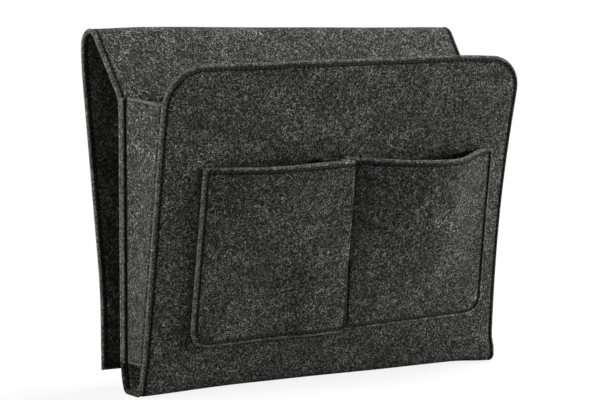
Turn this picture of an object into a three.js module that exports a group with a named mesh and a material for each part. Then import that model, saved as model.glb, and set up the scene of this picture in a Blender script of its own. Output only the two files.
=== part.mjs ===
// A bedside caddy sewn from thick felt. One long sheet makes the front, the bottom fold, the back and
// the flap that hangs behind it. Two gussets join front and back, and two pockets are sewn on the front.
// Millimetres, +Z up, +X to the right and +Y to the rear, so the front faces -Y.
import * as THREE from 'three';

// The felt and how it is sewn.
const feltThickness = 3;
const feltEdgeRound = 0.8;
const seamGap = 0.3;
const gussetTurnout = 4.5;

// The main sheet, as it stands.
const sheetWidth = 298;
const frontHeight = 231;
const frontLeanDeg = 8.25;
const frontCornerRadius = 31;
const baseDepth = 31.5;
const baseFrontRadius = 5.5;
const baseRearRadius = 2.6;
const baseFlare = 1.2;
const foldSeamHeight = 21;
const heelRadius = 18;
const heelLeanDeg = 8;

// The neck above the gussets, the roll over the top and the hanging flap.
const neckBelowGusset = 6;
const neckRadius = 24;
const neckLeanDeg = 35;
const neckSplitDeg = 16;
const neckClimb = 36.5;
const rollFrontRadius = 16;
const rollRearRadius = 12;
const flapHem = 11;
const flapLeanDeg = 8.5;
const flapShoulderRadius = 190;
const flapStraight = 105;
const flapTailRadius = 400;
const flapTailDeg = 1.5;
const foldSplit = 0.4;

// The gussets.
const gussetTopHeight = 206;
const gussetTopDroop = 1.5;
const gussetRearBend = 1.7;
const gussetFrontBend = 3;

// The pockets, measured up the front from its lower edge.
const pocketsLeft = -114;
const pocketsRight = 131;
const pocketHem = 34;
const pocketMouth = 162;
const pocketCornerRadius = 14;
const pocketSeamBand = 7;
const foldEdgeAtHem = 11;
const foldEdgeAtMouth = 7;
const foldBend = 2.2;
const foldReturn = 20;
const foldRiseRun = 14;
const leftBulge = 7;
const leftRise = 26;
const rightBulge = 17;
const rightPeak = 86;
const mouthDroop = 4.5;
const fullFromShare = 0.45;
const lowerFullShare = 0.8;

// How finely curved stretches are cut.
const degreesPerStep = 9;
const gentleDegreesPerStep = 3;
const tightDegreesPerStep = 18;
const gussetLevels = 8;
const pocketLevels = 12;
const cornerSteps = 10;
const flatSteps = 14;
const hemCrowding = 1.4;

const halfWidth = sheetWidth / 2;
const halfFelt = feltThickness / 2;
const frontLean = THREE.MathUtils.degToRad(frontLeanDeg);

// The felt's colour is a charcoal heather.
function feltMaterial(hex) {
  return new THREE.MeshStandardMaterial({ color: hex, roughness: 0.95, metalness: 0 });
}

function pieceOfFelt(name, geometry, hex) {
  const mesh = new THREE.Mesh(geometry, feltMaterial(hex));
  mesh.name = name;
  return mesh;
}

// A line carried through straights and bends. A bend turns left where its degrees are positive.
// Each point keeps its heading, so that the felt's two faces can be set off to either side of it.
function carryLine(start, headingDeg, moves) {
  let heading = THREE.MathUtils.degToRad(headingDeg);
  let at = start.clone();
  const line = [{ at: at.clone(), heading }];
  for (const move of moves) {
    if (move.straight) {
      const along = new THREE.Vector2(Math.cos(heading), Math.sin(heading));
      at = at.clone().addScaledVector(along, move.straight);
      line.push({ at: at.clone(), heading });
    } else {
      const steps = Math.max(1, Math.round(Math.abs(move.turn) / (move.every ?? degreesPerStep)));
      const side = Math.sign(move.turn);
      const centre = at.clone().add(sideways(heading, side * move.radius));
      for (let step = 1; step <= steps; step += 1) {
        const turned = heading + THREE.MathUtils.degToRad((move.turn * step) / steps);
        const place = centre.clone().sub(sideways(turned, side * move.radius));
        line.push({ at: place, heading: turned });
      }
      heading += THREE.MathUtils.degToRad(move.turn);
      at = line[line.length - 1].at.clone();
    }
  }
  return line;
}

// A step square to a heading, to its left where the distance is positive.
function sideways(heading, distance) {
  return new THREE.Vector2(-Math.sin(heading) * distance, Math.cos(heading) * distance);
}

// The outline of a strip of felt whose middle follows a line: out along one face, back along the other.
function stripOutline(line) {
  const leftFace = line.map((point) => point.at.clone().add(sideways(point.heading, halfFelt)));
  const rightFace = line.map((point) => point.at.clone().add(sideways(point.heading, -halfFelt)));
  return rightFace.concat(leftFace.reverse());
}

// A strip whose outline lies in the YZ plane, run across the width with its felt edges rounded.
function acrossTheWidth(line, width) {
  const geometry = new THREE.ExtrudeGeometry(new THREE.Shape(stripOutline(line)), {
    depth: width - 2 * feltEdgeRound,
    bevelEnabled: true,
    bevelThickness: feltEdgeRound,
    bevelSize: feltEdgeRound,
    bevelOffset: -feltEdgeRound,
    bevelSegments: 2,
  });
  const across = new THREE.Matrix4().makeBasis(
    new THREE.Vector3(0, 1, 0),
    new THREE.Vector3(0, 0, 1),
    new THREE.Vector3(1, 0, 0),
  );
  geometry.applyMatrix4(across);
  geometry.translate(feltEdgeRound - width / 2, 0, 0);
  return geometry;
}

// The triangles that fill a strip's outline: pairs of facing points, joined from one end to the other.
function stripCap(count) {
  const cap = [];
  for (let i = 0; i + 1 < count / 2; i += 1) {
    const facing = count - 1 - i;
    cap.push([i, i + 1, facing - 1], [i, facing - 1, facing]);
  }
  return cap;
}

// A closed solid through strip outlines that all have the same number of points, capped at both ends.
// The faces are turned to point outwards.
function loft(rings) {
  const count = rings[0].length;
  const corners = rings.flat();
  const faces = [];
  for (let level = 0; level + 1 < rings.length; level += 1) {
    for (let i = 0; i < count; i += 1) {
      const j = (i + 1) % count;
      const low = level * count;
      const high = low + count;
      faces.push([low + i, low + j, high + j], [low + i, high + j, high + i]);
    }
  }
  const lastRing = (rings.length - 1) * count;
  for (const [a, b, c] of stripCap(count)) {
    faces.push([c, b, a]);
    faces.push([lastRing + a, lastRing + b, lastRing + c]);
  }
  let volume = 0;
  for (const [a, b, c] of faces) {
    volume += corners[a].dot(corners[b].clone().cross(corners[c]));
  }
  const outward = volume > 0 ? faces : faces.map(([a, b, c]) => [c, b, a]);
  const geometry = new THREE.BufferGeometry();
  geometry.setFromPoints(corners);
  geometry.setIndex(outward.flat());
  geometry.computeVertexNormals();
  return geometry;
}

// The front's frame: x across it, up its slope, and out from its front face.
const upTheFront = new THREE.Vector3(0, -Math.sin(frontLean), Math.cos(frontLean));
const outOfFront = new THREE.Vector3(0, -Math.cos(frontLean), -Math.sin(frontLean));
const frontFoot = new THREE.Vector3(0, -baseDepth, 0);

function onTheFront(x, up, out) {
  return frontFoot.clone().addScaledVector(upTheFront, up).addScaledVector(outOfFront, out).setX(x);
}

// How far up the slope a height lies, and where the front's inner face stands at that height.
function upSlope(height) {
  return height / Math.cos(frontLean);
}

function frontInnerFace(height) {
  return -baseDepth - height * Math.tan(frontLean) + feltThickness / Math.cos(frontLean);
}

// The front: a flat sheet with rounded upper corners, leaning forward from the bottom fold.
function frontPanel() {
  const low = upSlope(foldSeamHeight) + seamGap;
  const high = upSlope(frontHeight);
  const arcX = halfWidth - frontCornerRadius;
  const arcY = high - frontCornerRadius;
  const outline = new THREE.Shape();
  outline.moveTo(-halfWidth, low);
  outline.lineTo(halfWidth, low);
  outline.lineTo(halfWidth, arcY);
  outline.absarc(arcX, arcY, frontCornerRadius, 0, Math.PI / 2);
  outline.lineTo(-arcX, high);
  outline.absarc(-arcX, arcY, frontCornerRadius, Math.PI / 2, Math.PI);
  const geometry = new THREE.ExtrudeGeometry(outline, {
    depth: feltThickness - 2 * feltEdgeRound,
    curveSegments: cornerSteps,
    bevelEnabled: true,
    bevelThickness: feltEdgeRound,
    bevelSize: feltEdgeRound,
    bevelOffset: -feltEdgeRound,
    bevelSegments: 2,
  });
  const place = new THREE.Matrix4().makeBasis(new THREE.Vector3(1, 0, 0), upTheFront, outOfFront);
  place.setPosition(onTheFront(0, 0, feltEdgeRound - feltThickness));
  geometry.applyMatrix4(place);
  return geometry;
}

// The bottom fold: down from the back by a slanting heel, forward along the base and up into the front.
function bottomFold() {
  const heel = THREE.MathUtils.degToRad(heelLeanDeg);
  const toFlatDeg = 90 - heelLeanDeg;
  const toFrontDeg = 90 - frontLeanDeg;
  const heelDrop = heelRadius * Math.sin(heel);
  const turnDrop = baseRearRadius * (1 - Math.sin(heel));
  const heelRun = (foldSeamHeight - heelDrop - turnDrop - halfFelt) / Math.cos(heel);
  const heelForward = heelRadius * (1 - Math.cos(heel)) + heelRun * Math.sin(heel);
  const flatStart = -halfFelt - heelForward - baseRearRadius * Math.cos(heel);
  const middleAtFoot = onTheFront(0, 0, -halfFelt);
  const cornerY = middleAtFoot.y - (halfFelt - middleAtFoot.z) * Math.tan(frontLean);
  const cornerTangent = baseFrontRadius * Math.tan(THREE.MathUtils.degToRad(toFrontDeg / 2));
  const flatRun = flatStart - (cornerY + cornerTangent);
  const riser = upSlope(foldSeamHeight - halfFelt) - cornerTangent;
  const line = carryLine(new THREE.Vector2(-halfFelt, foldSeamHeight), -90, [
    { radius: heelRadius, turn: -heelLeanDeg },
    { straight: heelRun },
    { radius: baseRearRadius, turn: -toFlatDeg },
    { straight: flatRun },
    { radius: baseFrontRadius, turn: -toFrontDeg },
    { straight: riser },
  ]);
  return acrossTheWidth(line, sheetWidth + 2 * baseFlare);
}

// The neck bends to the rear and climbs to the front half of the roll, which ends level at the top.
const neckLean = THREE.MathUtils.degToRad(neckLeanDeg);
const neckGapDeg = THREE.MathUtils.radToDeg(seamGap / 2 / neckRadius);
const neckHeight = gussetTopHeight - neckBelowGusset;
const neckEnd = onTheNeck(neckLeanDeg);
const rollFrontRise = rollFrontRadius * (1 - Math.sin(neckLean));
const rollMiddle = neckEnd.y + neckClimb * Math.cos(neckLean) + rollFrontRise;
const rollTopY = neckEnd.x + neckClimb * Math.sin(neckLean) + rollFrontRadius * Math.cos(neckLean);

// The middle of the felt where the neck has turned so many degrees to the rear.
function onTheNeck(turnedDeg) {
  const turned = THREE.MathUtils.degToRad(turnedDeg);
  return new THREE.Vector2(
    -halfFelt + neckRadius * (1 - Math.cos(turned)),
    neckHeight + neckRadius * Math.sin(turned),
  );
}

// The back: upright from the bottom fold, up to where the neck has begun to bend.
function backPanel() {
  const line = carryLine(new THREE.Vector2(-halfFelt, foldSeamHeight + seamGap), 90, [
    { straight: neckHeight - foldSeamHeight - seamGap },
    { radius: neckRadius, turn: neckGapDeg - neckSplitDeg, every: gentleDegreesPerStep },
  ]);
  return acrossTheWidth(line, sheetWidth);
}

// The upper back: the rest of the neck's bend, the climb and the front half of the roll.
function upperBack() {
  const rollGapDeg = THREE.MathUtils.radToDeg(foldSplit / 2 / rollFrontRadius);
  const startDeg = neckSplitDeg + neckGapDeg;
  const line = carryLine(onTheNeck(startDeg), 90 - startDeg, [
    { radius: neckRadius, turn: startDeg - neckLeanDeg, every: gentleDegreesPerStep },
    { straight: neckClimb },
    { radius: rollFrontRadius, turn: neckLeanDeg + rollGapDeg - 90 },
  ]);
  return acrossTheWidth(line, sheetWidth);
}

// The flap: the rear half of the roll, then the sheet hanging down behind the back to its hem.
function rearFlap() {
  const rollGapDeg = THREE.MathUtils.radToDeg(foldSplit / 2 / rollRearRadius);
  const shoulder = THREE.MathUtils.degToRad(flapLeanDeg);
  const tail = THREE.MathUtils.degToRad(flapTailDeg);
  const shoulderDrop = rollRearRadius + flapShoulderRadius * Math.sin(shoulder);
  const tailDrop = flapTailRadius * (Math.sin(shoulder) - Math.sin(tail));
  const straightDrop = flapStraight * Math.cos(shoulder);
  const hemDrop = rollMiddle - shoulderDrop - straightDrop - tailDrop - flapHem;
  const rollCentre = new THREE.Vector2(rollTopY, rollMiddle - rollRearRadius);
  const startHeading = THREE.MathUtils.degToRad(-rollGapDeg);
  const line = carryLine(rollCentre.add(sideways(startHeading, rollRearRadius)), -rollGapDeg, [
    { radius: rollRearRadius, turn: rollGapDeg - 90 },
    { radius: flapShoulderRadius, turn: -flapLeanDeg, every: gentleDegreesPerStep },
    { straight: flapStraight },
    { radius: flapTailRadius, turn: flapLeanDeg - flapTailDeg, every: gentleDegreesPerStep },
    { straight: hemDrop / Math.cos(tail) },
  ]);
  return acrossTheWidth(line, sheetWidth);
}

// A gusset: a tapering wall whose edges turn outwards, one against the back and one against the front.
function gusset(side) {
  const rings = [];
  for (let level = 0; level <= gussetLevels; level += 1) {
    const share = level / gussetLevels;
    const height = foldSeamHeight + (gussetTopHeight - foldSeamHeight) * share;
    const rearY = -feltThickness - seamGap - halfFelt;
    const frontY = frontInnerFace(height) + seamGap + halfFelt;
    const line = carryLine(new THREE.Vector2(-halfWidth, rearY), 0, [
      { straight: gussetTurnout - gussetRearBend },
      { radius: gussetRearBend, turn: -90, every: tightDegreesPerStep },
      { straight: rearY - frontY - gussetRearBend - gussetFrontBend },
      { radius: gussetFrontBend, turn: -90, every: tightDegreesPerStep },
      { straight: gussetTurnout - gussetFrontBend },
    ]);
    const droop = share * gussetTopDroop;
    rings.push(stripOutline(line).map((point) => {
      const forward = (rearY - point.y) / (rearY - frontY);
      return new THREE.Vector3(side * point.x, point.y, height - droop * forward);
    }));
  }
  return loft(rings);
}

// A smooth rise from 0 to 1.
function ease(share) {
  const held = THREE.MathUtils.clamp(share, 0, 1);
  return held * held * (3 - 2 * held);
}

// How full a pocket stands at a share of its height: sewn flat at the hem, full at the mouth.
function fullness(share) {
  return ease(share / fullFromShare) * (lowerFullShare + (1 - lowerFullShare) * share);
}

// How far a pocket's rounded lower corner draws its side edge in.
function cornerInset(up) {
  const below = Math.max(0, pocketCornerRadius - (up - pocketHem));
  return pocketCornerRadius - Math.sqrt(pocketCornerRadius ** 2 - below ** 2);
}

// The rings of a pocket: at each level its line is given as points across the front and out of it.
function pocketRings(lineAt, mouthAt) {
  const rings = [];
  for (let level = 0; level <= pocketLevels; level += 1) {
    const share = (level / pocketLevels) ** hemCrowding;
    const up = pocketHem + (pocketMouth - pocketHem) * share;
    const line = lineAt(up, share);
    rings.push(stripOutline(line).map((point) => {
      const drawn = share * mouthAt(point.x);
      return onTheFront(point.x, up - drawn, point.y);
    }));
  }
  return rings;
}

// A pocket's line across the front, as a height above it at each place, with its headings.
function lineFromHeights(fromX, toX, heightAt) {
  const line = [];
  for (let i = 0; i <= flatSteps; i += 1) {
    const x = fromX + ((toX - fromX) * i) / flatSteps;
    line.push(new THREE.Vector2(x, heightAt(x)));
  }
  return line.map((at, i) => {
    const before = line[Math.max(0, i - 1)];
    const after = line[Math.min(flatSteps, i + 1)];
    return { at, heading: Math.atan2(after.y - before.y, after.x - before.x) };
  });
}

// The left pocket rises from its side seam to a proud fold, then turns back under itself to the front.
function leftPocket() {
  const seated = seamGap + halfFelt;
  const rings = pocketRings((up, share) => {
    const fullest = seated + 2 * foldBend + (leftBulge - 2 * foldBend) * fullness(share);
    const startX = pocketsLeft + cornerInset(up);
    const edge = foldEdgeAtHem + (foldEdgeAtMouth - foldEdgeAtHem) * share;
    const bendX = edge - foldBend - halfFelt;
    const rise = (x) => ease((x - startX - pocketSeamBand) / leftRise) * fullness(share);
    const overReturn = (x) => ease((x - bendX + foldReturn + foldRiseRun) / foldRiseRun);
    const lift = (x) => overReturn(x) * (1 - fullness(share));
    const heightAt = (x) => seated + (fullest - seated) * Math.min(1, rise(x) + lift(x));
    const face = lineFromHeights(startX, bendX, heightAt);
    face[face.length - 1].heading = 0;
    const under = carryLine(face[face.length - 1].at, 0, [
      { radius: foldBend, turn: -180, every: tightDegreesPerStep },
    ]);
    const turned = under[under.length - 1].at;
    const back = lineFromHeights(turned.x, turned.x - foldReturn, (x) => {
      const down = ease((turned.x - x) / (foldReturn - pocketSeamBand));
      return turned.y + (seated - turned.y) * down;
    });
    return face.concat(under.slice(1), back.slice(1));
  }, () => 0);
  return loft(rings);
}

// The right pocket starts beside that fold, swells towards its far side and falls to its side seam.
function rightPocket() {
  const seated = seamGap + halfFelt;
  const rings = pocketRings((up, share) => {
    const edge = foldEdgeAtHem + (foldEdgeAtMouth - foldEdgeAtHem) * share;
    const startX = edge + 2 * seamGap;
    const endX = pocketsRight - cornerInset(up);
    const swell = (rightBulge - seated) * fullness(share);
    return lineFromHeights(startX, endX, (x) => {
      const climb = ease((x - startX - pocketSeamBand) / (rightPeak - startX - pocketSeamBand));
      const fall = ease((endX - pocketSeamBand - x) / (endX - pocketSeamBand - rightPeak));
      return seated + swell * climb * fall;
    });
  }, (x) => mouthDroop * Math.sin(Math.PI * THREE.MathUtils.clamp(x / pocketsRight, 0, 1)));
  return loft(rings);
}

const caddy = new THREE.Group();
caddy.add(pieceOfFelt('front_panel', frontPanel(), 0x3a3a38));
caddy.add(pieceOfFelt('bottom_fold', bottomFold(), 0x363634));
caddy.add(pieceOfFelt('back_panel', backPanel(), 0x3d3d3b));
caddy.add(pieceOfFelt('upper_back', upperBack(), 0x444442));
caddy.add(pieceOfFelt('rear_flap', rearFlap(), 0x333331));
caddy.add(pieceOfFelt('left_gusset', gusset(1), 0x4a4a48));
caddy.add(pieceOfFelt('right_gusset', gusset(-1), 0x4a4a48));
caddy.add(pieceOfFelt('left_pocket', leftPocket(), 0x383836));
caddy.add(pieceOfFelt('right_pocket', rightPocket(), 0x40403e));

// The origin is under the middle of the whole caddy, on the surface that it stands on.
const extent = new THREE.Box3().setFromObject(caddy);
caddy.position.y = -(extent.min.y + extent.max.y) / 2;

export default caddy;
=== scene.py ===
# A bedside caddy sewn from thick charcoal felt, drawn over its CAD frame.
# Shapes are worked out in millimetres with the back's rear face at y = 0, then moved into the frame.
import math
from functools import partial
import bpy
import numpy as np
from mathutils import Matrix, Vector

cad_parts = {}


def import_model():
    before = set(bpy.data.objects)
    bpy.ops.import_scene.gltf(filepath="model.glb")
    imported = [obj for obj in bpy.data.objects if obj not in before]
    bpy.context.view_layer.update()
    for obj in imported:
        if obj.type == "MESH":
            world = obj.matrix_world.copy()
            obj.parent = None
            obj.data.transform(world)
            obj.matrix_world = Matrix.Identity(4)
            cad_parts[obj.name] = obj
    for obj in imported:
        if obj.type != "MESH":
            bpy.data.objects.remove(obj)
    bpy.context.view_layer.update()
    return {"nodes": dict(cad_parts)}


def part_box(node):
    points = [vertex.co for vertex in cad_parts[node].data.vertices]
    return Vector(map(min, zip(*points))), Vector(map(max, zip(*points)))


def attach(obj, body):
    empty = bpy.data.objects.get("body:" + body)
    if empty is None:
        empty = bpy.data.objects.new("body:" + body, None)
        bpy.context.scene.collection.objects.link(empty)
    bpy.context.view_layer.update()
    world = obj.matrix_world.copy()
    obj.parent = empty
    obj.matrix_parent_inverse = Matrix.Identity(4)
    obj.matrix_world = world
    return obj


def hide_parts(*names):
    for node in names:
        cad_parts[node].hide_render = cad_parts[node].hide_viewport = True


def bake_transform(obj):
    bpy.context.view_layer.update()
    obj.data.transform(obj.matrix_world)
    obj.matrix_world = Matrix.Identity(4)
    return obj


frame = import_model()
mm = 0.001
drawnToFrame = np.array([0.0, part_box("bottom_fold")[1][1] / mm, 0.0])
print("frame loaded,", len(frame["nodes"]), "nodes")

felt = {
    "thickness": 3.0,
    # how far in the cut edge is rounded, and half its thickness at the end
    "rim": 1.5, "thinnest": 0.02,
    # a seam runs this far from the cut edge and pulls each face in
    "stitchInset": 3.4, "dip": 0.95, "dipWidth": 0.78,
    # the border's swell between them; its middle and width are shares of the inset
    "borderRise": 0.22, "riseAt": 0.5, "riseWidth": 0.32,
    # slow unevenness, full this far from an edge; its waves' lengths over x and over the run, strengths
    "ripple": 0.22, "rippleFrom": 12.0,
    "waves": ((17.0, 31.0, 1.0), (41.0, -23.0, 1.0), (-53.0, 11.0, 0.7)), "wavesTogether": 2.7,
    # the dark line along a seam: half its width, and the part of that in which it fades
    "pressReach": 1.75, "pressFade": 0.8,
}
# each piece starts at its own place on the felt's pattern
patternAt = {
    "farFace": 1500.0, "rightGusset": 900.0, "leftGusset": 1100.0, "leftPocket": 1400.0, "rightPocket": 1700.0,
}
farOff = 1e3     # the distance to an edge that is nowhere near
squareLess = 1.0 - math.pi / 4       # what a rounded corner takes from its square
mainSheet = {
    "width": 298.0, "frontLength": 233.0, "step": 3.4,
    # the front's middle surface, y and z at its foot and at both ends of its top
    "footMid": (-30.0, 1.5), "topLeftMid": (-67.8, 229.8), "topRightMid": (-66.2, 233.0),
    # the upper corners' radii; the top edge sinks towards its right end
    "cornerLeft": 31.0, "cornerRight": 26.0, "cornerDroop": 2.3,
    # the fold, and how far over which height the front leans back where it meets it
    "foldRadius": 5.5, "foldLean": (33.2, 230.0),
    # the fold spreads a little at each end, below this height
    "flareLeft": 1.2, "flareRight": 2.4, "flareTop": 9.0, "flareFade": 13.0,
    # it lifts between its corners
    "bow": 1.9, "bowLeft": 60.0, "bowRight": 112.0, "bowFade": 40.0,
    # the front's belly; its right edge is drawn back and in at half height
    "bellyOut": 1.2, "curlBack": 5.3, "curlIn": 2.0, "curlFrom": 92.0,
    # a soft crease runs in from the foot of the left gusset
    "crease": 0.55, "creaseAt": 19.0, "creaseWidth": 3.2, "creaseEnd": -60.0, "creaseFade": 60.0,
    # rows round the upper corners: from, to, step; those below: from, count; and the step onto the fold
    "cornerRows": (9.6, 33.0, 1.2), "plainRows": (34.0, 60), "foldStep": 0.9,
    # columns nearer to a side than this keep their distance from it
    "evenFrom": 60.0,
    # painted shade on the cut edge round the fold: below this height, this far in, by this share
    "underTop": 21.5, "underRim": 2.7, "underShade": 0.56,
}
wide, inset = mainSheet["width"], felt["stitchInset"]
halfWidth = wide / 2
halfFelt = felt["thickness"] / 2
joined = np.concatenate


def smooth(share):
    held = np.clip(share, 0.0, 1.0)
    return held * held * (3.0 - 2.0 * held)      # 0 to 1 with level ends


def shares(count, first=1):
    # even shares of a way as a column, the last one 1
    return np.arange(first, count + 1)[:, None] / count


def carried(start, headingDeg, moves):
    # a line in y and z carried on through moves of (length, turn to the left in degrees, samples)
    points = [np.array([start], float)]
    at, heading = np.array(start, float), math.radians(headingDeg)
    for length, turnDeg, samples in moves:
        share = np.arange(1, samples + 1) / samples
        turn = math.radians(turnDeg)
        if abs(turn) < 1e-9:
            step = np.stack([np.cos(heading) * share, np.sin(heading) * share], 1) * length
        else:
            radius = length / turn
            angles = heading + turn * share
            step = radius * np.stack([np.sin(angles) - math.sin(heading), math.cos(heading) - np.cos(angles)], 1)
        points.append(at + step)
        at, heading = at + step[-1], heading + turn
    return joined(points)


def arc(radius, turnDeg, samples):
    return (radius * math.radians(abs(turnDeg)), turnDeg, samples)


def runAlong(points):
    # the distance run at each point of a line
    return joined([[0], np.cumsum(np.linalg.norm(np.diff(points, axis=0), axis=1))])


def asRows(values, like):
    # one value for each row of a grid
    return np.broadcast_to(values[:, None], like.shape)


def readAlong(places, run, points):
    # a line's points read off at places along its run
    return np.stack([np.interp(places, run, column) for column in points.T], -1)


# distances from a cut edge, close together where its rim rounds and where the seam dips
rimSteps = np.array([
    0, 0.1, 0.3, 0.6, 1.0, 1.5, 2.0, 2.45, 2.75, 3.0, 3.2, 3.4, 3.6, 3.8, 4.05, 4.4, 5.0, 6.4, 8.6,
])


def across(width, step):
    # stations from 0 to width, close together by both edges
    count = max(3, int(round((width - 2 * rimSteps[-1]) / step)))
    middle = np.linspace(rimSteps[-1], width - rimSteps[-1], count + 1)
    return joined([rimSteps[:-1], middle, (width - rimSteps[:-1])[::-1]])


def drawnIn(toEnd, radius):
    # how far a rounded corner draws a side in, so far from its end: a circle's arc
    depth = np.clip(radius - toEnd, 0.0, None)
    return radius - np.sqrt(np.maximum(radius ** 2 - depth ** 2, 0.0))


def roundedEdge(toSide, toEnd, radius):
    # the distance to the nearer of two edges that meet in a rounded corner
    inCorner = (toSide < radius) & (toEnd < radius)
    return np.where(inCorner, radius - np.hypot(radius - toSide, radius - toEnd), np.minimum(toSide, toEnd))


def feltHalf(edge, style=felt):
    # half the thickness: a quarter round at the rim, a low swell on the border, a bell-shaped dip at the seam
    rim = np.sqrt(1.0 - (1.0 - np.clip(edge / style["rim"], 0.0, 1.0)) ** 2)
    swell = style["borderRise"] * np.exp(-((edge - style["riseAt"] * inset) / (style["riseWidth"] * inset)) ** 2)
    dip = style["dip"] * np.exp(-((edge - inset) / style["dipWidth"]) ** 2)
    return np.maximum((0.5 * style["thickness"] + swell) * rim - dip, style["thinnest"])


def darkeningDistance(share):
    # the edge distance at which the seam's dark line darkens the material by this share, used also to paint
    # shade
    return inset + felt["pressReach"] - felt["pressFade"] * share


def unit(vectors):
    return vectors / np.maximum(np.linalg.norm(vectors, axis=-1, keepdims=True), 1e-12)


def gridNormals(points):
    return unit(np.cross(np.gradient(points, axis=1), np.gradient(points, axis=0)))


def rippled(mid, x, run, seed, fade):
    # three crossing waves, for cloth that never lies quite flat
    phases = np.random.default_rng(seed).uniform(0, 6.28, 3)
    height = sum(
        strength * np.sin(x / overX + run / overRun + phase)
        for (overX, overRun, strength), phase in zip(felt["waves"], phases)
    ) / felt["wavesTogether"]
    return mid + gridNormals(mid) * (felt["ripple"] * height * fade)[..., None]


def facingOut(corners, faces):
    # all faces turned round if they enclose less than nothing
    a, b, c, d = (corners[faces[:, k]] for k in range(4))
    volume = np.sum(a * (np.cross(b, c) + np.cross(c, d)))
    return faces[:, ::-1] if volume < 0 else faces


def feltObject(name, mid, half, mapping, edge):
    # two faces, each half the thickness off a middle surface, and walls round the four sides
    normals, count = gridNormals(mid), half.size
    offset = normals * half[..., None]
    corners = joined([(mid + offset).reshape(-1, 3), (mid - offset).reshape(-1, 3)])
    index = np.arange(count).reshape(half.shape)
    quads = np.stack([index[:-1, :-1], index[:-1, 1:], index[1:, 1:], index[1:, :-1]], -1).reshape(-1, 4)
    rim = joined([index[0, :-1], index[:-1, -1], index[-1, :0:-1], index[:0:-1, 0]])
    ahead = np.roll(rim, -1)
    walls = np.stack([ahead, rim, rim + count, ahead + count], -1)
    faces = facingOut(corners, joined([quads, quads[:, ::-1] + count, walls]))
    smoothFaces = np.arange(len(faces)) < 2 * len(quads)
    # the edge distance, set in places to paint shade and highlight
    wearAndPaintedLight = np.tile(edge.ravel(), 2)
    places = joined([mapping.reshape(-1, 2), mapping.reshape(-1, 2) + [0.0, patternAt["farFace"]]])
    piece = meshObject(name, corners, faces, smoothFaces, places, wearAndPaintedLight)
    creaseAlong(piece.data, count, rim)
    return piece, (mid, normals, half)


def creaseAlong(mesh, count, rim):
    # edges between a face and the walls stay sharp, which keeps the face's shading even
    onRim = np.zeros(2 * count, int)
    onRim[rim], onRim[rim + count] = 1, 2
    ends = np.empty(2 * len(mesh.edges), np.int32)
    mesh.edges.foreach_get("vertices", ends)
    ends = onRim[ends.reshape(-1, 2)]
    sharp = mesh.attributes.new("sharp_edge", "BOOLEAN", "EDGE")
    sharp.data.foreach_set("value", (ends[:, 0] > 0) & (ends[:, 0] == ends[:, 1]))


def placed(name, data):
    made = bpy.data.objects.new(name, data)
    bpy.context.scene.collection.objects.link(made)
    return made


def meshObject(name, corners, faces, smoothFaces, places=None, wearAndPaintedLight=None):
    mesh = bpy.data.meshes.new(name)
    sides = faces.shape[1]
    mesh.vertices.add(len(corners))
    mesh.vertices.foreach_set("co", ((corners + drawnToFrame) * mm).astype(np.float32).ravel())
    mesh.loops.add(faces.size)
    mesh.loops.foreach_set("vertex_index", faces.astype(np.int32).ravel())
    mesh.polygons.add(len(faces))
    mesh.polygons.foreach_set("loop_start", np.arange(0, faces.size, sides, dtype=np.int32))
    mesh.polygons.foreach_set("use_smooth", smoothFaces)
    if places is not None:
        layer = mesh.uv_layers.new(name="feltMap")
        layer.data.foreach_set("uv", (places[faces.ravel()] * mm).astype(np.float32).ravel())
        # the edge distance, which the material reads for worn fuzz, painted highlight and painted shade
        wornAndLit = mesh.attributes.new("edgeDistance", "FLOAT", "POINT")
        wornAndLit.data.foreach_set("value", wearAndPaintedLight.astype(np.float32))
    mesh.update(calc_edges=True)
    mesh.validate()
    piece = placed(name, mesh)
    return piece


heather = {
    # place on the pattern and paleness; blue is a share of red and green
    "tones": ((0.0, 0.008), (0.36, 0.024), (0.7, 0.085), (1.0, 0.34)), "warmth": 0.955,
    # noises by scale to the metre, detail, roughness, warp and share: two of fibres, one of flecks,
    # patches where the pale fibres lie thicker, slow clouds of tone
    "tangle": (400.0, 2.0, 0.55, 0.9, 0.42),
    "hair": (640.0, 2.0, 0.55, 0.7, 0.34),
    "fleck": (1100.0, 2.0, 0.7, 0.6, 0.45),
    "patch": (110.0, 3.0, 0.6, 0.4, 0.36),
    "blotch": (30.0, 3.0, 0.6, 0.2, 0.22),
    # how narrow the fibres' pale lines are, and what they keep outside the patches
    "tangleThin": 10.0, "hairThin": 9.0, "patchLeast": 0.82,
    # the pattern's own middle value, and where that falls on the tones
    "centre": 0.645, "middle": 0.4, "contrast": 2.0,
    # the worn cut edge, also paler as painted highlight: how far in, how much smoother and paler; and how dark a
    # seam's line and the painted shade are
    "wornAndLitDepth": 3.2, "wornCalm": 0.6, "wornAndLitPale": 0.13, "pressAndShadeDark": 0.86,
    # the relief's strength and depth in metres, and the pattern's shift from felt to felt
    "fuzz": (0.7, 0.0006), "shift": (3.1, 1.7),
    "surface": {"Roughness": 0.96, "Specular IOR Level": 0.06, "Sheen Weight": 0.03, "Sheen Roughness": 0.6},
}


def feed(tree, socket, value):
    # links another node's output, sets anything else
    if isinstance(value, bpy.types.NodeSocket):
        tree.links.new(value, socket)
    else:
        socket.default_value = value


def addNode(tree, kind, **settings):
    # a node with sockets and properties set by their names
    made = tree.nodes.new("ShaderNode" + kind)
    for key, value in settings.items():
        if key in made.inputs:
            feed(tree, made.inputs[key], value)
        else:
            setattr(made, key, value)
    return made


def mathNode(tree, operation, *values, clamp=False):
    made = addNode(tree, "Math", operation=operation, use_clamp=clamp)
    for socket, value in zip(made.inputs, values):
        feed(tree, socket, value)
    return made.outputs[0]


def newMaterial(name, surface):
    material = bpy.data.materials.new(name)
    material.use_nodes = True
    shader = material.node_tree.nodes["Principled BSDF"]
    for key, value in surface.items():
        feed(material.node_tree, shader.inputs[key], value)
    return material, material.node_tree, shader


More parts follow.
